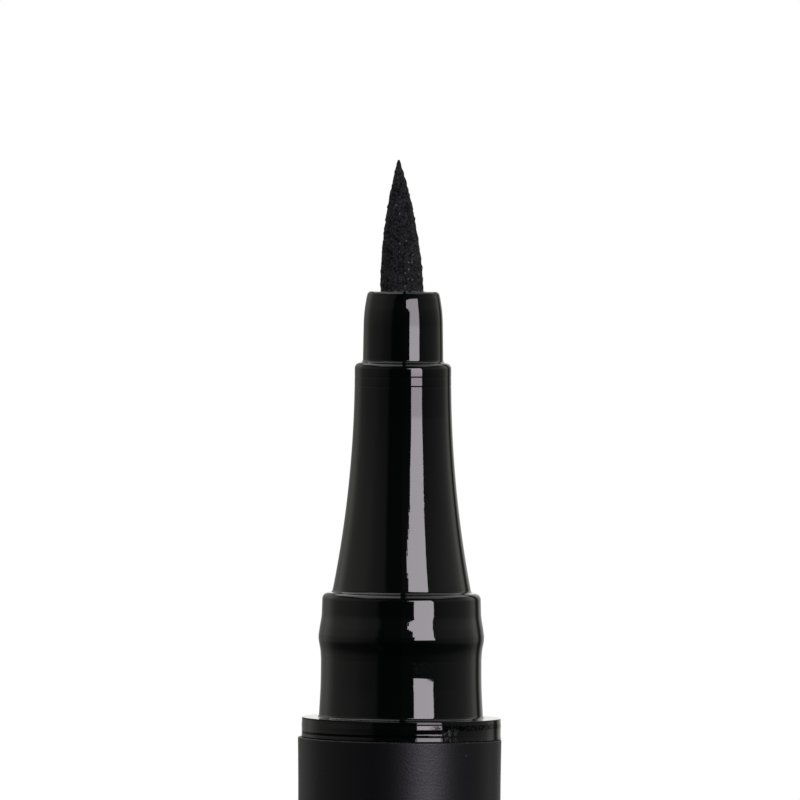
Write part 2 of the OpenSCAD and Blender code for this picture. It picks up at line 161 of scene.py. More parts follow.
# The trumpet is one arc that leaves the neck without a corner
trumpet_arc_r = 57.2
trumpet_steps = 40
trumpet = []
for step in range(trumpet_steps + 1):
    drop = (neck_z - flare_z) * step / trumpet_steps
    trumpet.append((neck_r + trumpet_arc_r - math.sqrt(trumpet_arc_r ** 2 - drop ** 2), neck_z - drop))
# Two fine rings turned into the mould just under the neck
ring_depth = 0.009
for ring_z in (143.23, 142.76):
    ring_r = neck_r + trumpet_arc_r - math.sqrt(trumpet_arc_r ** 2 - max(0, neck_z - ring_z) ** 2)
    trumpet = [p for p in trumpet if abs(p[1] - ring_z) > 0.1]
    trumpet += [(ring_r, ring_z + 0.08), (ring_r, ring_z + 0.045), (ring_r - ring_depth, ring_z),
                (ring_r, ring_z - 0.045), (ring_r, ring_z - 0.08)]
trumpet.sort(key=lambda point: -point[1])
# A fillet leads from the trumpet's foot to the collar's top
trumpet[-1] = (*trumpet[-1], 0.14)

front_section = turned("front_section", [
    (1.62, shoulder_z, 0.04), (neck_r, shoulder_z, 0.3), *trumpet,
    # Collar: the cap's mouth slides over its ramp and snaps behind the bead
    (3.995, flare_z, 0.33), (4.03, 131.2, 0.1), (4.0723, 130.91, 0.1), (4.1252, 130.61, 0.1),
    (4.203, 130.05, 0.2), (4.083, 129.45, 0.18), (4.056, 129.0), (4.058, 128.2), (4.07, 127.6),
    (4.093, 127.1), (4.15, collar_z, 0.15),
    # Flange: its side isn't quite flat, and a fine line runs round it
    (5.02, collar_z, 0.04), (5.026, 125.915), (5.0235, 125.865), (5.036, 125.65), (5.026, 125.44),
    (5.0295, 125.343), (5.024, 125.265), (5.024, 125.25), (5.042, flange_z, 0.02),
    # Skirt with the rib that holds it in the barrel
    (4.28, flange_z, 0.05), *snap_rib(flange_z - rib_depth, *rib), (4.28, skirt_z, 0.2),
    # Bore, wide round the comb and narrow in the neck, where the tip holder is pressed in
    (3.58, skirt_z, 0.1), (3.58, flange_z), (3.27, flange_z, 0.1), (3.27, 131.65, 0.15), (2.79, 131.65, 0.1),
    (1.62, 137.45, 0.1),
])
# Sink marks of a hundredth or two, where the thick wall shrank in the mould, and one slight swell. Each has
# its angle to the right of the front, height, half width in degrees, half height and depth
for vert in front_section.data.vertices:
    radius = math.hypot(vert.co.x, vert.co.y)
    outside_r = 2.3 if vert.co.z > 132 * MM else 3.8
    if radius > outside_r * MM:
        turn = math.degrees(math.atan2(vert.co.x, -vert.co.y))
        for angle, height, width, tall, depth in ((30, 127.87, 19, 0.6, 0.01), (-12, 129.9, 10, 1.2, 0.01),
                                                  (17, 142.2, 15, 3, -0.007), (24, 136.4, 22, 4.2, 0.0195)):
            away = ((turn - angle) / width) ** 2 + ((vert.co.z / MM - height) / tall) ** 2
            if away < 1:
                vert.co.xy *= 1 - depth * MM * (1 - away) ** 2 / radius
settle(front_section, (
    (124.5, 0, 0), (flange_z, 0.042, 0.01), (collar_z - 0.01, 0.042, 0.004), (collar_z, 0.02, 0.004),
    (flare_z, 0.02, 0.003), (flare_z + 0.3, 0.03, 0.003), (150, 0.034, 0.003)))
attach(front_section, "pen")
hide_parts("front_section")

# Injection-moulded ABS, black all through: a deep black with a hard clear reflection, whose edges wander a
# little where the skin sank by a few micrometres as it cooled. A pattern's scale is how many of its grains
# lie in a millimetre
gloss_abs, tree, place, shader = start_material(
    "moulded_black_ABS", Base_Color=linear("#010303"), Roughness=0.035, IOR=1.5)
sink = add_node(tree, "TexNoise", {"Vector": place, "Scale": 0.7 / MM, "Detail": 1.5, "Roughness": 0.5})
fine = add_node(tree, "TexNoise", {"Vector": place, "Scale": 4.2 / MM, "Detail": 2, "Roughness": 0.6})
# Flow marks are strongest in patches a few mm long
patch = add_node(tree, "TexNoise", {"Vector": place, "Scale": 0.26 / MM, "Detail": 0})
patch = add_node(tree, "MapRange", {"Value": patch.outputs[0], "From Min": 0.5, "From Max": 0.7, "To Max": 1})
fine = add_node(tree, "Math", {0: fine.outputs[0], 1: patch.outputs[0]}, operation="MULTIPLY")
# The flange is rubbed and nicked towards the barrel
up_pen = add_node(tree, "SeparateXYZ", {0: place})
rubbed = add_node(tree, "MapRange", {"Value": up_pen.outputs[2], "From Min": (flange_z + 0.9) * MM,
                                     "From Max": (flange_z + 0.1) * MM, "To Max": 4})
nicks = add_node(tree, "TexNoise", {"Vector": place, "Scale": 3.6 / MM, "Detail": 4, "Roughness": 0.7})
nicks = add_node(tree, "Math", {0: nicks.outputs[0], 1: rubbed.outputs[0]}, operation="MULTIPLY")
above_flange = add_node(tree, "Math", {0: up_pen.outputs[2], 1: (flange_z - 0.05) * MM},
                        operation="GREATER_THAN")
nicks = add_node(tree, "Math", {0: nicks.outputs[0], 1: above_flange.outputs[0]}, operation="MULTIPLY")
fine = add_node(tree, "Math", {0: fine.outputs[0], 1: nicks.outputs[0]}, operation="ADD")
sunk = add_node(tree, "Bump", {"Height": sink.outputs[0], "Distance": 0.004 * MM, "Strength": 1})
marks = add_node(tree, "Bump", {"Height": fine.outputs[0], "Distance": 0.0012 * MM, "Strength": 1,
                                "Normal": sunk.outputs[0]})
tree.links.new(marks.outputs[0], shader.inputs["Normal"])
# A patch of slanting scuffs to the right of the front, where a thumb nail pushes the cap off
in_patch = add_node(tree, "MapRange", {"Value": up_pen.outputs[0], "From Min": 2 * MM, "From Max": 2.3 * MM})
patch_end = add_node(tree, "MapRange", {"Value": up_pen.outputs[0], "From Min": 3 * MM, "From Max": 2.5 * MM})
in_patch = add_node(tree, "Math", {0: in_patch.outputs[0], 1: patch_end.outputs[0]}, operation="MULTIPLY")
in_front = add_node(tree, "Math", {0: up_pen.outputs[1], 1: 0}, operation="LESS_THAN")
in_patch = add_node(tree, "Math", {0: in_patch.outputs[0], 1: in_front.outputs[0]}, operation="MULTIPLY")
in_patch = add_node(tree, "Math", {0: in_patch.outputs[0], 1: above_flange.outputs[0]}, operation="MULTIPLY")
below = add_node(tree, "MapRange", {"Value": up_pen.outputs[2], "From Min": (flange_z + 0.7) * MM,
                                    "From Max": (flange_z + 0.5) * MM})
in_patch = add_node(tree, "Math", {0: in_patch.outputs[0], 1: below.outputs[0]}, operation="MULTIPLY")
slanting = add_node(tree, "Mapping", {"Vector": place, "Rotation": (0, math.radians(50), 0)})
slanting = add_node(tree, "Mapping", {"Vector": slanting.outputs[0], "Scale": (0.2, 1, 1)})
scuffs = add_node(tree, "TexNoise", {"Vector": slanting.outputs[0], "Scale": 11 / MM, "Detail": 2,
                                     "Roughness": 0.6})
scuffs = add_node(tree, "MapRange", {"Value": scuffs.outputs[0], "From Min": 0.52, "From Max": 0.62})
scuffs = add_node(tree, "Math", {0: scuffs.outputs[0], 1: in_patch.outputs[0]}, operation="MULTIPLY")
scuffed = add_node(tree, "MixRGB", {"Fac": scuffs.outputs[0], "Color1": linear("#010303"),
                                    "Color2": linear("#48484a")})
tree.links.new(scuffed.outputs[0], shader.inputs["Base Color"])
# Handling has left a dull film on the right of the front: on the holder's crown, under the neck and on
# the flange
film_low, film_high = 125, 148
film = add_node(tree, "MapRange", {"Value": up_pen.outputs[2], "From Min": film_low * MM,
                                   "From Max": film_high * MM})
film = add_node(tree, "ValToRGB", {"Fac": film.outputs[0]})
film_levels = ((125.1, 0.8), (125.24, 0.8), (125.26, 0.55), (125.37, 0.55), (125.4, 1), (125.84, 1),
               (125.86, 0.5), (125.98, 0.45), (126.01, 1), (141.1, 1), (141.35, 0.82), (143.4, 0.82),
               (143.7, 1), (145.7, 1), (145.95, 0.82), (147.6, 0.82))
for film_z, level in film_levels[1:-1]:
    film.color_ramp.elements.new((film_z - film_low) / (film_high - film_low))
for element, (film_z, level) in zip(film.color_ramp.elements, film_levels):
    element.position = (film_z - film_low) / (film_high - film_low)
    element.color = (level, level, level, 1)
beside = add_node(tree, "Math", {0: up_pen.outputs[0], 1: 1.1 * MM}, operation="SUBTRACT")
beside = add_node(tree, "Math", {0: beside.outputs[0]}, operation="ABSOLUTE")
beside = add_node(tree, "MapRange", {"Value": beside.outputs[0], "From Min": 1.1 * MM, "From Max": 1 * MM})
film = add_node(tree, "MixRGB", {"Fac": beside.outputs[0], "Color1": (1, 1, 1, 1), "Color2": film.outputs[0]})
# The flange's lower line is worn away on its left, and the middle of its side is rubbed on its right
worn_line = add_node(tree, "Math", {0: up_pen.outputs[2], 1: (flange_z + 0.265) * MM, 2: 0.06 * MM},
                     operation="COMPARE")
worn_left = add_node(tree, "MapRange", {"Value": up_pen.outputs[0], "From Min": 1.55 * MM,
                                        "From Max": 1.35 * MM, "To Max": 0.9})
worn_line = add_node(tree, "Math", {0: worn_line.outputs[0], 1: worn_left.outputs[0]}, operation="MULTIPLY")
rub_line = add_node(tree, "Math", {0: up_pen.outputs[2], 1: (flange_z + 0.65) * MM, 2: 0.13 * MM},
                    operation="COMPARE")
rub_right = add_node(tree, "MapRange", {"Value": up_pen.outputs[0], "From Min": 1.4 * MM,
                                        "From Max": 1.8 * MM})
rub_line = add_node(tree, "Math", {0: rub_line.outputs[0], 1: rub_right.outputs[0]}, operation="MULTIPLY")
rubs = add_node(tree, "TexNoise", {"Vector": place, "Scale": 9 / MM, "Detail": 2})
rubs = add_node(tree, "MapRange", {"Value": rubs.outputs[0], "From Min": 0.6, "From Max": 0.45, "To Min": 0.2,
                                   "To Max": 0.9})
rub_line = add_node(tree, "Math", {0: rub_line.outputs[0], 1: rubs.outputs[0]}, operation="MULTIPLY")
# Its upper edge has lost its shine to both sides
rim_line = add_node(tree, "Math", {0: up_pen.outputs[2], 1: (collar_z - 0.02) * MM, 2: 0.04 * MM},
                    operation="COMPARE")
rim_side = add_node(tree, "Math", {0: up_pen.outputs[0]}, operation="ABSOLUTE")
rim_side = add_node(tree, "MapRange", {"Value": rim_side.outputs[0], "From Min": 1.3 * MM,
                                       "From Max": 2.1 * MM, "To Max": 0.75})
rim_line = add_node(tree, "Math", {0: rim_line.outputs[0], 1: rim_side.outputs[0]}, operation="MULTIPLY")
loss = add_node(tree, "Math", {0: worn_line.outputs[0], 1: rub_line.outputs[0]}, operation="MAXIMUM")
loss = add_node(tree, "Math", {0: loss.outputs[0], 1: rim_line.outputs[0]}, operation="MAXIMUM")
kept = add_node(tree, "Math", {0: 1, 1: loss.outputs[0]}, operation="SUBTRACT")
shine = add_node(tree, "Math", {0: film.outputs[0], 1: kept.outputs[0]}, operation="MULTIPLY")
full_shine = 0.5
shine = add_node(tree, "Math", {0: shine.outputs[0], 1: full_shine}, operation="MULTIPLY")
tree.links.new(shine.outputs[0], shader.inputs["Specular IOR Level"])
front_section.data.materials.append(gloss_abs)


# Ink collector: a comb of thin fins moulded in natural ABS, pressed up into the front section. Ink climbs
# between the fins as the tank warms, so that it doesn't drip.

natural_abs, tree, place, shader = start_material(
    "natural_ABS", Base_Color=linear("#dcdccf"), Roughness=0.32, IOR=1.53, Subsurface_Weight=0.2,
    Subsurface_Radius=[0.0012, 0.0011, 0.0009], Subsurface_Scale=0.3)
# Ink that has crept up the comb stains it in uneven bands
creep = add_node(tree, "TexNoise", {"Vector": place, "Scale": 0.42 / MM, "Detail": 4, "Roughness": 0.6})
stain = add_node(tree, "MapRange", {"Value": creep.outputs[0], "From Min": 0.45, "From Max": 0.62})
tint = add_node(tree, "MixRGB", {"Fac": stain.outputs[0], "Color1": linear("#dcdccf"),
                                 "Color2": linear("#4a4a4c")})
tree.links.new(tint.outputs[0], shader.inputs["Base Color"])
grain = add_node(tree, "Bump", {"Height": creep.outputs[0], "Distance": 0.006 * MM})
tree.links.new(grain.outputs[0], shader.inputs["Normal"])


def finish_packed(name, material):
    """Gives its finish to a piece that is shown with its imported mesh."""
    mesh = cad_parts[name].data
    mesh.materials.clear()
    mesh.materials.append(material)


finish_packed("ink_collector", natural_abs)


# Feed rod: a bundle of polyester fibre, wrapped and bonded, that wicks ink from the tank to the tip. It is
# pushed into the collector's bore, and is soaked with ink.

ink_fibre, tree, place, shader = start_material(
    "ink_soaked_polyester_fibre", Base_Color=linear("#1a1a1d"), Roughness=0.55, IOR=1.4)
# Fibres of 20 micrometres run along the rod
along = add_node(tree, "Mapping", {"Vector": place, "Scale": (1, 1, 0.04)})
fibres = add_node(tree, "TexNoise", {"Vector": along.outputs[0], "Scale": 24 / MM, "Detail": 2})
shade = add_node(tree, "MixRGB", {"Fac": fibres.outputs[0], "Color1": linear("#0b0b0d"),
                                  "Color2": linear("#2e2e33")})
raised = add_node(tree, "Bump", {"Height": fibres.outputs[0], "Distance": 0.01 * MM})
tree.links.new(shade.outputs[0], shader.inputs["Base Color"])
tree.links.new(raised.outputs[0], shader.inputs["Normal"])
finish_packed("feed_rod", ink_fibre)


# Tip holder: a small moulding in the same black ABS, pressed into the neck down to a tight joint. Three
# grooves in its bore let air past the felt.

nose_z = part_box("tip_holder")[1].z / MM
shank_z = shoulder_z - 5
bore_r = 1.11
groove_r = 0.18
tip_holder = turned("tip_holder", [
    (bore_r, nose_z - 0.08), (1.19, nose_z, 0.02), (1.71, nose_z, 0.02), (1.81, 147.43, 0.04),
    (1.87, 147.18, 0.05), (1.958, 146.62, 0.15), (1.998, 146.10, 0.2), (2.008, 145.59), (2.024, 144.58),
    # Its foot spreads a little over the shoulder
    (2.03, shoulder_z + 0.02, 0.13), (2.17, shoulder_z + 0.002), (2.17, shoulder_z),
    (1.6, shoulder_z, 0.05), (1.6, shank_z, 0.2), (bore_r, shank_z, 0.1),
])
settle(tip_holder, ((137, 0.032, 0.003), (148, 0.034, 0.003)))
bm = bmesh.new()
bm.from_mesh(tip_holder.data)
# The grooves are pressed outwards from the bore
for vert in bm.verts:
    radius = math.hypot(vert.co.x, vert.co.y)
    if radius < (bore_r + 0.06) * MM:
        turn = math.atan2(vert.co.y, vert.co.x)
        off_groove = abs((turn * 3 / math.tau + 0.5) % 1 - 0.5) * math.tau / 3 * bore_r
        if off_groove < groove_r:
            vert.co.xy *= (bore_r + math.sqrt(groove_r ** 2 - off_groove ** 2)) / bore_r
bm.to_mesh(tip_holder.data)
bm.free()
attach(tip_holder, "pen")
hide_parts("tip_holder")
tip_holder.data.materials.append(gloss_abs)


# Felt tip: a rod of bonded polyester fibre, soaked with ink, ground to a point. Grinding leaves a granular
# skin with broken fibre ends, and use has bent it a little to one side.

apex_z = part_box("felt_tip")[1].z / MM
tip_tail_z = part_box("felt_tip")[0].z / MM
tip_length = apex_z - nose_z
felt_r = 1.085
# The ground cone bulges a little between its blunt point and its root
cone = []
cone_steps, cone_top = 210, 0.03
for step in range(cone_steps):
    down = step / cone_steps
    share = 0.05 + 0.95 * down + 0.8 * down * (1 - down)
    cone.append((felt_r * share, apex_z - cone_top - (tip_length - cone_top) * down))
felt_tip = turned("felt_tip", [(0, apex_z - 0.01), *cone, (felt_r, nose_z), (felt_r, nose_z - 0.3),
                               (felt_r, tip_tail_z, 0.1), (0, tip_tail_z)], rings=208)
bend_start = 0.12
bm = bmesh.new()
bm.from_mesh(felt_tip.data)
for vert in bm.verts:
    x, y, z = vert.co / MM
    if z < nose_z - bend_start:
        continue
    free = (z - nose_z) / tip_length
    radius = math.hypot(x, y)
    spot = Vector((x, y, z))
    # Folds where it bends, then clumps, then grains. Fibres run up the tip, so that the skin is also
    # ridged along it
    fold = max(0, 0.12 - abs(noise.noise(spot * 1.7))) * 0.3 * math.sin(math.pi * min(1, max(0, free))) ** 2
    clump = noise.noise(spot * 3.5) * 0.026
    grain = noise.noise(Vector((x, y, z * 0.8)) * 8) * 0.034
    streak = noise.noise(Vector((x * 11, y * 11, z * 1.6))) * 0.016
    crease = -0.03 * math.exp(-((z - nose_z - 2.87 - 0.3 * x) / 0.06) ** 2)
    swell = (fold + clump + grain + streak + crease) * min(1, max(0, free) * 20) * min(1, radius / 0.12)
    scale = 1 + swell / max(radius, 0.05)
    vert.co.x = (x * scale - 0.035 * min(1, (z - nose_z + bend_start) / bend_start) - 0.2 * max(0, free)) * MM
    vert.co.y = y * scale * MM
bm.normal_update()
bm.to_mesh(felt_tip.data)
bm.free()
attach(felt_tip, "pen")
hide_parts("felt_tip")

# Ground polyester felt full of black ink: dull, and mottled where grains stand dry, with a few pale fibre
# ends, and more pale dots in one stripe that are painted glints
ink_felt, tree, place, shader = start_material(
    "ground_polyester_felt", Base_Color=linear("#151516"), Roughness=0.55, IOR=1.4)
grains = add_node(tree, "TexNoise", {"Vector": place, "Scale": 9.5 / MM, "Detail": 4, "Roughness": 0.75})
clumps = add_node(tree, "TexNoise", {"Vector": place, "Scale": 2.2 / MM, "Detail": 2})
tall = add_node(tree, "Mapping", {"Vector": place, "Scale": (1, 1, 0.22)})
strands = add_node(tree, "TexNoise", {"Vector": tall.outputs[0], "Scale": 9 / MM, "Detail": 2})
mottle = add_node(tree, "Math", {0: clumps.outputs[0], 1: 0.25, 2: 0.05}, operation="MULTIPLY_ADD")
mottle = add_node(tree, "Math", {0: grains.outputs[0], 1: mottle.outputs[0]}, operation="ADD")
mottle = add_node(tree, "MapRange", {"Value": mottle.outputs[0], "From Min": 0.58, "From Max": 0.78})
felt_colour = add_node(tree, "MixRGB", {"Fac": mottle.outputs[0], "Color1": linear("#060606"),
                                        "Color2": linear("#29292d")})
end_and_glint_cells = add_node(tree, "TexVoronoi", {"Vector": place, "Scale": 6 / MM, "Randomness": 1})
pale_dots_and_glints = add_node(tree, "MapRange", {"Value": end_and_glint_cells.outputs["Distance"], "From Min": 0.34, "From Max": 0.2})
few = add_node(tree, "SeparateColor", {0: end_and_glint_cells.outputs["Color"]})
# Painted glints: far more pale dots stand in one stripe up the front of the tip's lower half
up_tip = add_node(tree, "SeparateXYZ", {0: place})
off_glint_stripe = add_node(tree, "Math", {0: up_tip.outputs[0], 1: 0.12 * MM}, operation="SUBTRACT")
off_glint_stripe = add_node(tree, "Math", {0: off_glint_stripe.outputs[0]}, operation="ABSOLUTE")
glint_stripe = add_node(tree, "MapRange", {"Value": off_glint_stripe.outputs[0], "From Min": 0.15 * MM,
                                        "From Max": 0.5 * MM, "To Min": 0.35, "To Max": 0})
lower = add_node(tree, "MapRange", {"Value": up_tip.outputs[2], "From Min": (nose_z + 2.6) * MM,
                                    "From Max": (nose_z + 1.6) * MM})
glint_stripe = add_node(tree, "Math", {0: glint_stripe.outputs[0], 1: lower.outputs[0]}, operation="MULTIPLY")
rarity = add_node(tree, "Math", {0: 0.95, 1: glint_stripe.outputs[0]}, operation="SUBTRACT")
few = add_node(tree, "Math", {0: few.outputs[0], 1: rarity.outputs[0]}, operation="GREATER_THAN")
pale_dots_and_glints = add_node(tree, "Math", {0: pale_dots_and_glints.outputs[0], 1: few.outputs[0]}, operation="MULTIPLY")
# Pale flecks ring the felt just above the holder
base_flecks = add_node(tree, "MapRange", {"Value": up_tip.outputs[2], "From Min": (nose_z + 0.04) * MM,
                                   "From Max": (nose_z + 0.12) * MM, "To Min": 0.04, "To Max": -0.4})
base_flecks = add_node(tree, "Math", {0: grains.outputs[0], 1: base_flecks.outputs[0]}, operation="ADD")
base_flecks = add_node(tree, "Math", {0: base_flecks.outputs[0], 1: 0.58}, operation="GREATER_THAN")
pale_dots_and_glints = add_node(tree, "Math", {0: pale_dots_and_glints.outputs[0], 1: base_flecks.outputs[0]}, operation="MAXIMUM")
# The fibre ends, the flecks and the painted glints are all mixed in as one pale colour
felt_colour = add_node(tree, "MixRGB", {"Fac": pale_dots_and_glints.outputs[0], "Color1": felt_colour.outputs[0],
                                        "Color2": linear("#6c6c76")})
tree.links.new(felt_colour.outputs[0], shader.inputs["Base Color"])
# Pits between the grains don't shine
shine = add_node(tree, "MapRange", {"Value": mottle.outputs[0], "To Min": 0.16, "To Max": 0.55})
tree.links.new(shine.outputs[0], shader.inputs["Specular IOR Level"])
relief = add_node(tree, "Math", {0: grains.outputs[0], 1: strands.outputs[0]}, operation="ADD")
relief = add_node(tree, "Bump", {"Height": relief.outputs[0], "Distance": 0.09 * MM})
tree.links.new(relief.outputs[0], shader.inputs["Normal"])
felt_tip.data.materials.append(ink_felt)


# Tank gasket: a ring punched from nitrile rubber sheet. It is clamped between the tank's mouth and the
# collector's flange, and keeps the ink in.

rubber, tree, place, shader = start_material(
    "nitrile_rubber", Base_Color=linear("#232325"), Roughness=0.62, IOR=1.52)
bloom = add_node(tree, "TexNoise", {"Vector": place, "Scale": 1.5 / MM, "Detail": 3})
dust = add_node(tree, "MixRGB", {"Fac": bloom.outputs[0], "Color1": linear("#1a1a1c"),
                                 "Color2": linear("#303033")})
skin = add_node(tree, "Bump", {"Height": bloom.outputs[0], "Distance": 0.01 * MM})
tree.links.new(dust.outputs[0], shader.inputs["Base Color"])
tree.links.new(skin.outputs[0], shader.inputs["Normal"])
finish_packed("tank_gasket", rubber)


# Ink tank and its stopper: a tube and a ribbed plug in natural polypropylene, milky and faintly waxy. The
# stopper is pushed into the tube's back end. The inner cap's guide is moulded in the same plastic.

natural_pp, tree, place, shader = start_material(
    "natural_polypropylene", Base_Color=linear("#e4e6e2"), Roughness=0.38, IOR=1.49, Subsurface_Weight=0.35,
    Subsurface_Radius=[0.002, 0.002, 0.0018], Subsurface_Scale=0.5)
flow = add_node(tree, "TexNoise", {"Vector": place, "Scale": 0.5 / MM, "Detail": 2})
milk = add_node(tree, "MixRGB", {"Fac": flow.outputs[0], "Color1": linear("#dadcd8"),
                                 "Color2": linear("#eceeea")})
wax = add_node(tree, "Bump", {"Height": flow.outputs[0], "Distance": 0.004 * MM})
tree.links.new(milk.outputs[0], shader.inputs["Base Color"])
tree.links.new(wax.outputs[0], shader.inputs["Normal"])
for moulded in ("ink_tank", "tank_stopper", "inner_cap_guide"):
    finish_packed(moulded, natural_pp)


# Mixing balls: two bearing balls of stainless steel, loose in the tank, that stir the ink when the pen is
# shaken. Ink and each other have dulled their polish.

ball_steel, tree, place, shader = start_material(
    "stainless_bearing_steel", Base_Color=linear("#c3c3c5"), Metallic=1, Roughness=0.18)
scuffs = add_node(tree, "TexNoise", {"Vector": place, "Scale": 3 / MM, "Detail": 4})
worn = add_node(tree, "MapRange", {"Value": scuffs.outputs[0], "To Min": 0.1, "To Max": 0.3})
tree.links.new(worn.outputs[0], shader.inputs["Roughness"])
for ball in ("mixing_ball_left", "mixing_ball_right"):
    finish_packed(ball, ball_steel)


# Barrel: a tube moulded in black ABS and sprayed with soft-touch lacquer. The skirt and the tail plug snap
# into grooves inside its two mouths.

barrel_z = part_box("barrel")[0].z / MM
groove = (4.3, 0.4), (4.44, 0.07)
barrel = turned("barrel", [
    # Outside, a little slimmer in the middle and swelling towards the mouth
    (5.1, barrel_z, 0.06), (5.095, barrel_z + 3), (5.09, barrel_z + 12), (5.1, flange_z - 4),
    (5.107, flange_z - 2.2), (5.12, flange_z - 1), (5.134, flange_z - 0.04, 0.06),
    # Bore, with a lead-in at each mouth
    (4.45, flange_z - 0.04, 0.03), (4.3, flange_z - 0.15, 0.03), *snap_rib(flange_z - rib_depth, *groove),
    *snap_rib(barrel_z + rib_depth, *groove), (4.3, barrel_z + 0.15, 0.03), (4.45, barrel_z, 0.03),
])
settle(barrel, ((flange_z - 14, 0, 0), (flange_z - 4, -0.034, 0), (flange_z - 2, -0.034, 0),
                (flange_z + 0.1, -0.034, 0.01)), wall=4.8)
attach(barrel, "pen")
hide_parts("barrel")

# Soft-touch polyurethane lacquer: velvety, so that the light spreads into one broad soft band, with a faint
# violet cast, fine orange peel and a few specks of dust under it
soft_touch, tree, place, shader = start_material(
    "soft_touch_lacquer", Base_Color=linear("#050407"), Roughness=0.4, IOR=1.45,
    Specular_Tint=(0.93, 0.93, 1, 1), Sheen_Weight=0.03, Sheen_Roughness=0.25, Sheen_Tint=(0.9, 0.86, 1, 1))
peel = add_node(tree, "TexNoise", {"Vector": place, "Scale": 8 / MM, "Detail": 2, "Roughness": 0.6})
pits = add_node(tree, "TexVoronoi", {"Vector": place, "Scale": 1.3 / MM, "Randomness": 1})
speck = add_node(tree, "MapRange", {"Value": pits.outputs["Distance"], "From Min": 0.07, "From Max": 0.04})
rare = add_node(tree, "SeparateColor", {0: pits.outputs["Color"]})
rare = add_node(tree, "Math", {0: rare.outputs[1], 1: 0.8}, operation="GREATER_THAN")
speck = add_node(tree, "Math", {0: speck.outputs[0], 1: rare.outputs[0]}, operation="MULTIPLY")
# The lacquer is chipped in places along the mouth's edge
up_barrel = add_node(tree, "SeparateXYZ", {0: place})
near_mouth = add_node(tree, "MapRange", {"Value": up_barrel.outputs[2], "From Min": (flange_z - 0.2) * MM,
                                         "From Max": (flange_z - 0.08) * MM, "To Min": -0.3, "To Max": -0.04})
chips = add_node(tree, "TexNoise", {"Vector": place, "Scale": 3.8 / MM, "Detail": 3, "Roughness": 0.7})
chips = add_node(tree, "Math", {0: chips.outputs[0], 1: near_mouth.outputs[0]}, operation="ADD")
chips = add_node(tree, "Math", {0: chips.outputs[0], 1: 0.6}, operation="GREATER_THAN")
speck = add_node(tree, "Math", {0: speck.outputs[0], 1: chips.outputs[0]}, operation="MAXIMUM")
coat_colour = add_node(tree, "MixRGB", {"Fac": speck.outputs[0], "Color1": linear("#050407"),
                                        "Color2": linear("#5a565e")})
tree.links.new(coat_colour.outputs[0], shader.inputs["Base Color"])
peel_bump = add_node(tree, "Bump", {"Height": peel.outputs[0], "Distance": 0.007 * MM})
speck_bump = add_node(tree, "Bump", {"Height": speck.outputs[0], "Distance": 0.01 * MM,
                                     "Normal": peel_bump.outputs[0]})
tree.links.new(speck_bump.outputs[0], shader.inputs["Normal"])
barrel.data.materials.append(soft_touch)


# Tail plug: a hollow moulding in black ABS that closes the barrel and carries the cap on its stub while the
# pen is in use.

tail_flange_z = barrel_z - 1
stub_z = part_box("tail_plug")[0].z / MM
stub_r = 4.01
plug_top_z = barrel_z + 6
plug_bore_r, plug_end = 3.11, 0.9
tail_plug = turned("tail_plug", [
    (0, stub_z), (stub_r, stub_z, 0.5), (stub_r, tail_flange_z, 0.04), (4.85, tail_flange_z, 0.08),
    (4.85, barrel_z, 0.04), (4.28, barrel_z, 0.04), *reversed(snap_rib(barrel_z + rib_depth, *rib)),
    (4.28, plug_top_z, 0.15), (plug_bore_r, plug_top_z, 0.1), (plug_bore_r, stub_z + plug_end, 0.3),
    (0, stub_z + plug_end),
])
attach(tail_plug, "pen")
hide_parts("tail_plug")
tail_plug.data.materials.append(gloss_abs)


# Cap: a blind tube in black ABS with the barrel's soft-touch lacquer. A ridge inside its mouth snaps behind
# the bead of the collar. Here it is pushed on the tail.

cap_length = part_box("cap_shell")[1].z / MM
cap_bore_r, cap_end = 4.25, 1.2
boss_r, boss_height = 2.3, 0.8
cap_shell = turned("cap_shell", [
    (0, 0), (5.1, 0, 0.45), (5.075, 3), (5.075, cap_length - 3), (5.1, cap_length, 0.08),
    # Mouth, and the ridge that snaps behind the bead
    (4.4, cap_length, 0.03), (cap_bore_r, cap_length - 0.15, 0.03), (cap_bore_r, cap_length - 2.25, 0.08),
    (4.06, cap_length - 2.475, 0.08), (4.06, cap_length - 2.925, 0.08), (cap_bore_r, cap_length - 3.15, 0.08),
    # Bottom, with the boss that centres the spring
    (cap_bore_r, cap_end, 0.15), (boss_r, cap_end, 0.1), (boss_r, cap_end + boss_height, 0.15),
    (0, cap_end + boss_height),
])
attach(cap_shell, "cap")
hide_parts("cap_shell")
cap_shell.data.materials.append(soft_touch)


# Inner cap's spring: round spring steel wire, coiled with one closed turn at each end, over a boss in the cap
# and one on the inner cap.

spring_low, spring_high = (corner.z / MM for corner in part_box("inner_cap_spring"))
wire_r, wire_sides, coil_r = 0.2, 12, 2.78
bm = bmesh.new()
bmesh.ops.create_circle(bm, cap_ends=True, radius=wire_r * MM, segments=wire_sides,
                        matrix=Matrix.Translation((coil_r * MM, 0, (spring_low + wire_r) * MM))
                        @ Matrix.Rotation(math.pi / 2, 4, "X"))
wire_end = bm.verts[:] + bm.edges[:] + bm.faces[:]
closed_rise = 0.42
open_rise = spring_high - spring_low - 2 * wire_r - 2 * closed_rise
for turns, rise in ((1, closed_rise), (5, open_rise), (1, closed_rise)):
    steps = turns * 40
    made = bmesh.ops.spin(bm, geom=wire_end, cent=(0, 0, 0), axis=(0, 0, 1), dvec=(0, 0, rise * MM / steps),
                          angle=math.tau * turns, steps=steps)
    wire_end = made["geom_last"]
bmesh.ops.remove_doubles(bm, verts=bm.verts[:], dist=0.0005 * MM)
# The faces that each spin started from are left inside the wire
inside = [f for f in bm.faces if len(f.verts) == wire_sides and all(len(e.link_faces) > 2 for e in f.edges)]
bmesh.ops.delete(bm, geom=inside, context="FACES_ONLY")
bmesh.ops.recalc_face_normals(bm, faces=bm.faces[:])
inner_cap_spring = piece_of("inner_cap_spring", bm)
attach(inner_cap_spring, "cap")
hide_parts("inner_cap_spring")
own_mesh(inner_cap_spring)

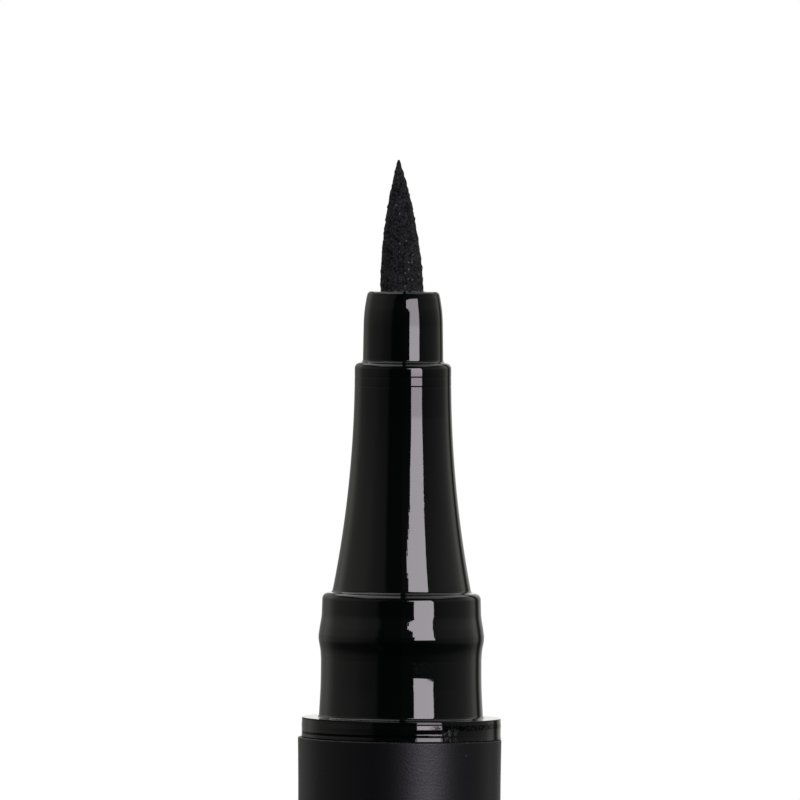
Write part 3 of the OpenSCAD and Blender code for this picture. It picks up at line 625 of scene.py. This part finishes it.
# Drawn stainless spring wire: grey and half bright, with fine die lines along it
spring_steel, tree, place, shader = start_material(
    "drawn_spring_steel", Base_Color=linear("#b4b6b8"), Metallic=1, Roughness=0.3)
draw_lines = add_node(tree, "TexNoise", {"Vector": place, "Scale": 9 / MM, "Detail": 2})
sheen = add_node(tree, "MapRange", {"Value": draw_lines.outputs[0], "To Min": 0.22, "To Max": 0.4})
tree.links.new(sheen.outputs[0], shader.inputs["Roughness"])
inner_cap_spring.data.materials.append(spring_steel)


# Inner cap: moulded in natural polypropylene. It closes over the neck with two seal beads, and its back
# flange is held in the guide, a sleeve pressed to the bottom of the cap.

inner_boss_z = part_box("inner_cap")[0].z / MM
back_z = inner_boss_z + boss_height
inner_end_z = back_z + 0.9
inner_step_z = back_z + 11.83
inner_front_z = back_z + 13.33
inner_wall_r, seal_bore_r, tip_bore_r = 3.18, 2.53, 2.13
seal_beads = []
for bead_z in (back_z + 12.88, back_z + 12.28):
    seal_beads += [(seal_bore_r, bead_z + 0.08, 0.04), (seal_bore_r - 0.04, bead_z, 0.04),
                   (seal_bore_r, bead_z - 0.08, 0.04)]
inner_cap = turned("inner_cap", [
    (0, inner_boss_z), (boss_r, inner_boss_z, 0.15), (boss_r, back_z, 0.05), (3.68, back_z, 0.12),
    (3.68, inner_end_z, 0.12), (inner_wall_r, inner_end_z, 0.06), (inner_wall_r, inner_front_z, 0.15),
    (seal_bore_r, inner_front_z, 0.12), *seal_beads, (seal_bore_r, inner_step_z, 0.05),
    (tip_bore_r, inner_step_z, 0.05), (tip_bore_r, inner_end_z, 0.15), (0, inner_end_z),
])
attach(inner_cap, "inner_cap")
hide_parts("inner_cap")
inner_cap.data.materials.append(natural_pp)


# Studio: a long lens in front, a hair above the collar and turned a third of a degree, one square softbox
# to the right with a flap on its left side, two panels overhead with a gap between them, a white backdrop
# and a pale floor.

scene = bpy.context.scene
scene.view_settings.view_transform = "Standard"
distance, rise, roll = 0.7, math.radians(1.37), math.radians(0.31)
picture_width, picture_centre_z = 40.32 * MM, 142.06 * MM
sensor_width = 36
camera_data = bpy.data.cameras.new("camera")
camera_data.sensor_width = sensor_width
camera_data.lens = sensor_width * distance / picture_width
camera = bpy.data.objects.new("camera", camera_data)
scene.collection.objects.link(camera)
camera.matrix_world = (
    Matrix.Translation((-0.11 * MM, -distance * math.cos(rise), picture_centre_z + distance * math.sin(rise)))
    @ Matrix.Rotation(math.pi / 2 - rise, 4, "X") @ Matrix.Rotation(roll, 4, "Z"))
scene.camera = camera


def add_lamp(name, centre, facing, width, height, radiance):
    """A rectangular soft lamp that shines towards facing. Its power follows from its size and radiance."""
    lamp = bpy.data.lights.new(name, "AREA")
    lamp.shape, lamp.size, lamp.size_y = "RECTANGLE", width, height
    lamp.energy = radiance * math.pi * width * height
    holder = bpy.data.objects.new(name, lamp)
    scene.collection.objects.link(holder)
    holder.location = centre
    holder.rotation_euler = Vector(facing).to_track_quat("-Z", "Y").to_euler()
    holder.visible_camera = False
    return lamp


# The softbox stands to the right of the camera and leans back, so that it faces up past the pen
side, lean = math.radians(32.8), math.radians(20)
to_softbox = Vector((math.sin(side), -math.cos(side), 0))
rightwards = Vector((math.cos(side), math.sin(side), 0))
up_softbox = to_softbox * math.sin(lean) + Vector((0, 0, math.cos(lean)))
facing = -to_softbox * math.cos(lean) + Vector((0, 0, math.sin(lean)))
low_edge = to_softbox * 0.6 + Vector((0, 0, 0.116))
softbox_width, softbox_height, softbox_radiance = 0.3211, 0.332, 8
# A flap narrows to its left in four steps. Each lamp has its width, and its lower and upper edge above the
# softbox's own lower edge
flap_step = 0.0368
reached = -softbox_width / 2
for name, width, low, high in (("softbox", softbox_width, 0, softbox_height),
                               ("flap_root", flap_step, 0.175, softbox_height),
                               ("flap_second", flap_step, 0.205, 0.315),
                               ("flap_third", flap_step, 0.221, 0.3), ("flap_end", flap_step, 0.244, 0.28)):
    centre = low_edge + up_softbox * (low + high) / 2 - rightwards * (reached + width / 2)
    add_lamp(name, centre, facing, width, high - low, softbox_radiance).color = (1, 0.93, 1)
    reached += width
add_lamp("top_left", (-0.265, 0.35, 0.75), (0, 0, -1), 0.51, 1.2, 1.3)
add_lamp("top_right", (0.31, 0.35, 0.75), (0, 0, -1), 0.53, 1.2, 0.85)

# The room is dim, with the white backdrop behind the pen. The camera sees white everywhere
world = bpy.data.worlds.new("studio")
scene.world = world
world.use_nodes = True
tree = world.node_tree
tree.nodes.clear()
toward = add_node(tree, "TexCoord").outputs["Generated"]
toward = add_node(tree, "SeparateXYZ", {0: toward})
depth = add_node(tree, "MapRange", {"Value": toward.outputs[1], "From Min": -1, "From Max": 1})
# Each wall's levels, by the direction seen: -1 is behind the camera and 1 is behind the pen
left_wall = ((-1, 0.02), (-0.86, 0.02), (-0.8, 0.09), (-0.57, 0.127), (-0.33, 0.186), (0.375, 0.22),
             (0.616, 0.36), (0.707, 0.36), (0.8, 0.27), (0.848, 0.26), (0.9, 0.24), (0.945, 0.24),
             (0.978, 0.35), (0.992, 1))
right_wall = ((-1, 0.03), (-0.5, 0.12), (-0.28, 0.15), (0.24, 0.22), (0.454, 0.31), (0.574, 0.46),
              (0.67, 0.42), (0.731, 0.12), (0.766, 0.05), (0.81, 0.05), (0.848, 0.2), (0.891, 0.4),
              (0.927, 0.5), (0.978, 0.5), (0.992, 1))
walls = []
for levels in (left_wall, right_wall):
    wall = add_node(tree, "ValToRGB", {"Fac": depth.outputs[0]})
    ramp = wall.color_ramp.elements
    for place_on_wall, level in levels[1:-1]:
        ramp.new((place_on_wall + 1) / 2)
    for element, (place_on_wall, level) in zip(ramp, levels):
        element.position = (place_on_wall + 1) / 2
        element.color = (level, level * 1.01, level * 0.96, 1)
    walls.append(wall.outputs[0])
right = add_node(tree, "Math", {0: toward.outputs[0], 1: 0}, operation="GREATER_THAN")
room = add_node(tree, "MixRGB", {"Fac": right.outputs[0], "Color1": walls[0], "Color2": walls[1]})
above = add_node(tree, "MapRange", {"Value": toward.outputs[2], "From Min": -0.3, "From Max": -0.08,
                                    "To Min": 0.3, "To Max": 1})
higher = add_node(tree, "MapRange", {"Value": toward.outputs[2], "From Min": 0, "From Max": 0.25, "To Min": 1,
                                     "To Max": 1.7})
ceiling = add_node(tree, "MapRange", {"Value": toward.outputs[2], "From Min": 0.36, "From Max": 0.7,
                                      "To Min": 1, "To Max": 0.2})
higher = add_node(tree, "Math", {0: higher.outputs[0], 1: ceiling.outputs[0]}, operation="MULTIPLY")
level = add_node(tree, "Math", {0: above.outputs[0], 1: higher.outputs[0]}, operation="MULTIPLY")
room = add_node(tree, "MixRGB", {"Fac": 1, "Color1": room.outputs[0], "Color2": level.outputs[0]},
                blend_type="MULTIPLY")
seen = add_node(tree, "LightPath").outputs["Is Camera Ray"]
backdrop = add_node(tree, "MixRGB", {"Fac": seen, "Color1": room.outputs[0], "Color2": (1, 1, 1, 1)})
light = add_node(tree, "Background", {"Color": backdrop.outputs[0], "Strength": 1})
add_node(tree, "OutputWorld", {"Surface": light.outputs[0]})

# The floor is a disc of matt white board that fades out towards its edge
bm = bmesh.new()
bmesh.ops.create_circle(bm, cap_ends=True, radius=0.17, segments=96)
floor = piece_of("floor", bm)
board, tree, place, shader = start_material("matt_white_board", Base_Color=linear("#eeeeec"), Roughness=0.9)
reach = add_node(tree, "VectorMath", {0: place}, operation="LENGTH")
fade = add_node(tree, "MapRange", {"Value": reach.outputs["Value"], "From Min": 0.05, "From Max": 0.165},
                interpolation_type="SMOOTHSTEP")
clear = add_node(tree, "BsdfTransparent")
blend = add_node(tree, "MixShader", {0: fade.outputs[0], 1: shader.outputs[0], 2: clear.outputs[0]})
output = next(n for n in tree.nodes if n.type == "OUTPUT_MATERIAL")
tree.links.new(blend.outputs[0], output.inputs["Surface"])
floor.data.materials.append(board)
